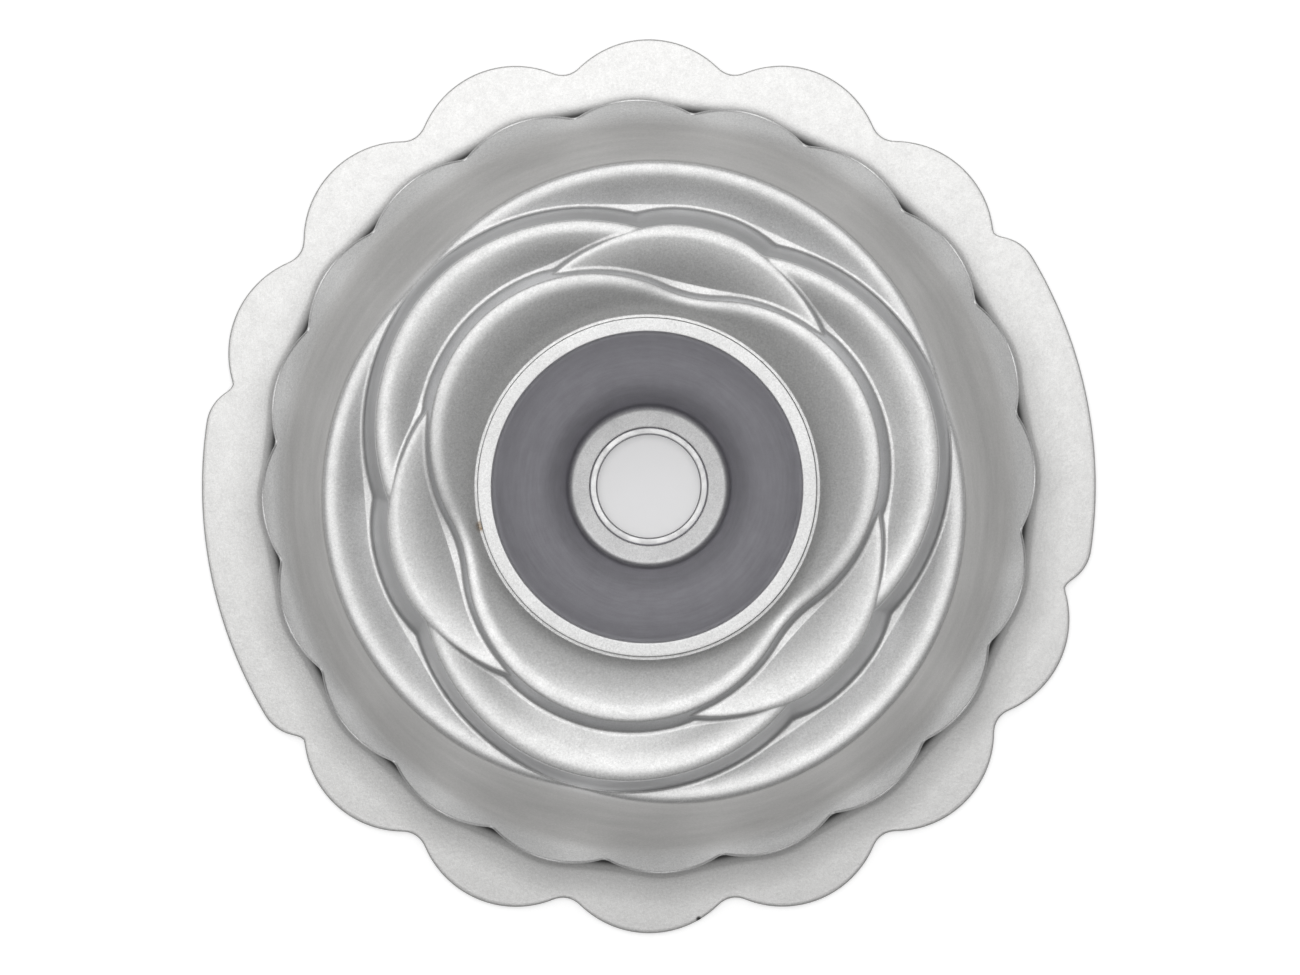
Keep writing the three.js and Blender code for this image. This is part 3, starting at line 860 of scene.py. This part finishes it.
def tube_coat():
    """Smooth dark bluish cone with wiped streaks, and bright rings at its two ends."""
    make = Metal("tube_coat")
    ring_top = make.fade(make.height, metres(RING_TOP_HEIGHTS), (0.0, 1.0))
    ring_side = make.fade(make.radius, metres(RING_RADII), (0.0, 1.0))
    end_low = make.fade(make.height, metres(END_HEIGHTS), (0.0, 1.0))
    end = make.product(end_low, make.fade(make.facing_up, END_FACING, (0.0, 1.0)))
    bright = make.math("MAXIMUM", make.math("MAXIMUM", ring_top, ring_side), end)
    grain = make.noise(scale=1500.0)
    fine = make.noise(scale=3400.0, detail=1.0)
    grained = make.product(make.waver(grain, swing=0.4), make.waver(fine, swing=0.5))
    narrow = make.waver(make.streaks(around=4.0, up=420.0), swing=0.45)
    broad = make.waver(make.streaks(around=9.0, up=90.0), swing=0.25)
    # Painted light lightens the foot of the cone, deep in the tube.
    foot = make.fade(make.height, metres(CONE_FOOT_HEIGHTS), CONE_FOOT_PAINTED_LIGHT)
    dark = make.tinted(CONE_BLUE, make.product(narrow, broad, foot, make.waver(fine, swing=0.45)))
    ring_tone = make.fade(make.height, metres(RING_TONE_HEIGHTS), RING_TONES)
    light = make.tinted(RING_GREY, make.product(grained, ring_tone))
    smooth = make.fade(bright, (0.0, 1.0), (0.34, 0.5))
    roughness = make.math("MULTIPLY", smooth, make.waver(make.noise(scale=120.0, detail=3.0), swing=0.2))
    return make.finish(make.mix(bright, dark, light), roughness, make.bump(fine, depth=0.006 * MM))


def bead_coat():
    """Plain bright ring round the hole."""
    make = Metal("bead_coat")
    grain = make.noise(scale=1600.0)
    worn = make.waver(make.noise(scale=140.0, detail=3.0), swing=0.12)
    tone = make.product(make.waver(grain, swing=0.18), worn)
    roughness = make.fade(make.noise(scale=260.0, detail=3.0), NOISE_SPAN, (0.34, 0.46))
    return make.finish(make.tinted(BEAD_GREY, tone), roughness, make.bump(grain, depth=0.008 * MM))


shell.data.materials.append(shell_coat())
plate.data.materials.append(plate_coat())
tube.data.materials.append(tube_coat())
bead.data.materials.append(bead_coat())

# Camera over the crown, a little off the axis as in the photograph. The centre's offsets are in pixels.
PIXELS_WIDE = 1300
PIXEL = 0.2956
SENSOR = 36.0
CAMERA_HEIGHT = 1200.0
CAMERA_TURN = math.radians(-11.3)
CAMERA_RIGHT = 7.3
CAMERA_UP = 3.5
CENTRE_RIGHT = -1.1
CENTRE_UP = 1.2

camera_data = bpy.data.cameras.new("camera")
camera_data.sensor_width = SENSOR
camera_data.lens = SENSOR * CAMERA_HEIGHT / (PIXELS_WIDE * PIXEL)
camera_data.shift_x = -(CENTRE_RIGHT + CAMERA_RIGHT / PIXEL) / PIXELS_WIDE
camera_data.shift_y = -(CENTRE_UP + CAMERA_UP / PIXEL) / PIXELS_WIDE
camera_data.clip_end = 20.0
camera = bpy.data.objects.new("camera", camera_data)
camera.location = (
    (CAMERA_RIGHT * math.cos(CAMERA_TURN) - CAMERA_UP * math.sin(CAMERA_TURN)) * MM,
    (CAMERA_RIGHT * math.sin(CAMERA_TURN) + CAMERA_UP * math.cos(CAMERA_TURN)) * MM,
    CAMERA_HEIGHT * MM,
)
camera.rotation_euler = (0.0, 0.0, CAMERA_TURN)
bpy.context.scene.collection.objects.link(camera)
bpy.context.scene.camera = camera

# Pale floor, in metres. It glows for the camera and for reflections, and less where something stands
# close to it, so the background is white and the shadow under the part stays.
FLOOR_HALF = 3.0
FLOOR_HEIGHT = -0.0005
PAPER = (0.9, 0.9, 0.9, 1)
GLOW_LEAST = 0.28
GLOW_OPEN = 0.22
SHADOW_REACH = 0.1


def floor_coat():
    material = bpy.data.materials.new("floor")
    material.use_nodes = True
    material.node_tree.nodes.clear()
    make = Tree(material.node_tree)
    rays = make.add("LightPath", {}).outputs
    seen = make.math("MAXIMUM", rays["Is Camera Ray"], rays["Is Glossy Ray"])
    seen = make.math("MAXIMUM", seen, rays["Is Transmission Ray"])
    open_share = make.add("AmbientOcclusion", {"Distance": SHADOW_REACH}).outputs["AO"]
    level = make.math("MULTIPLY_ADD", open_share, GLOW_OPEN, GLOW_LEAST)
    paper = make.add("BsdfDiffuse", {"Color": PAPER})
    glow = make.add("Emission", {"Strength": make.math("MULTIPLY", seen, level)})
    both = make.add("AddShader", {0: paper.outputs[0], 1: glow.outputs[0]})
    make.add("OutputMaterial", {"Surface": both.outputs[0]})
    return material


floor_mesh = bpy.data.meshes.new("floor")
corners = [(-1, -1), (1, -1), (1, 1), (-1, 1)]
floor_mesh.from_pydata([(x * FLOOR_HALF, y * FLOOR_HALF, 0) for x, y in corners], [], [(0, 1, 2, 3)])
floor_mesh.materials.append(floor_coat())
floor = bpy.data.objects.new("floor", floor_mesh)
floor.location.z = FLOOR_HEIGHT
bpy.context.scene.collection.objects.link(floor)

# Light: one broad soft lamp over the crown, and a plain surround that is dimmer in front than behind
LAMP_PLACE = (0.02, 0.37, 2.2)
LAMP_SIZE = 1.5
LAMP_POWER = 11.3
SURROUND_FRONT = 0.28
SURROUND_BACK = 0.72

world = bpy.data.worlds.new("world")
bpy.context.scene.world = world
world.use_nodes = True
sky = Tree(world.node_tree)
direction = sky.add("TexCoord", {}).outputs["Generated"]
depth = sky.add("SeparateXYZ", {"Vector": direction}).outputs["Y"]
range_inputs = {"Value": depth, "From Min": -1.0, "To Min": SURROUND_FRONT, "To Max": SURROUND_BACK}
background = world.node_tree.nodes["Background"]
sky.put(background.inputs["Color"], (1, 1, 1, 1))
sky.put(background.inputs["Strength"], sky.add("MapRange", range_inputs).outputs["Result"])

lamp_data = bpy.data.lights.new("overhead", "AREA")
lamp_data.shape = "DISK"
lamp_data.size = LAMP_SIZE
lamp_data.energy = LAMP_POWER
lamp = bpy.data.objects.new("overhead", lamp_data)
lamp.location = LAMP_PLACE
lamp.rotation_euler = Vector(LAMP_PLACE).to_track_quat("Z", "Y").to_euler()
bpy.context.scene.collection.objects.link(lamp)

bpy.context.scene.view_settings.view_transform = "Standard"
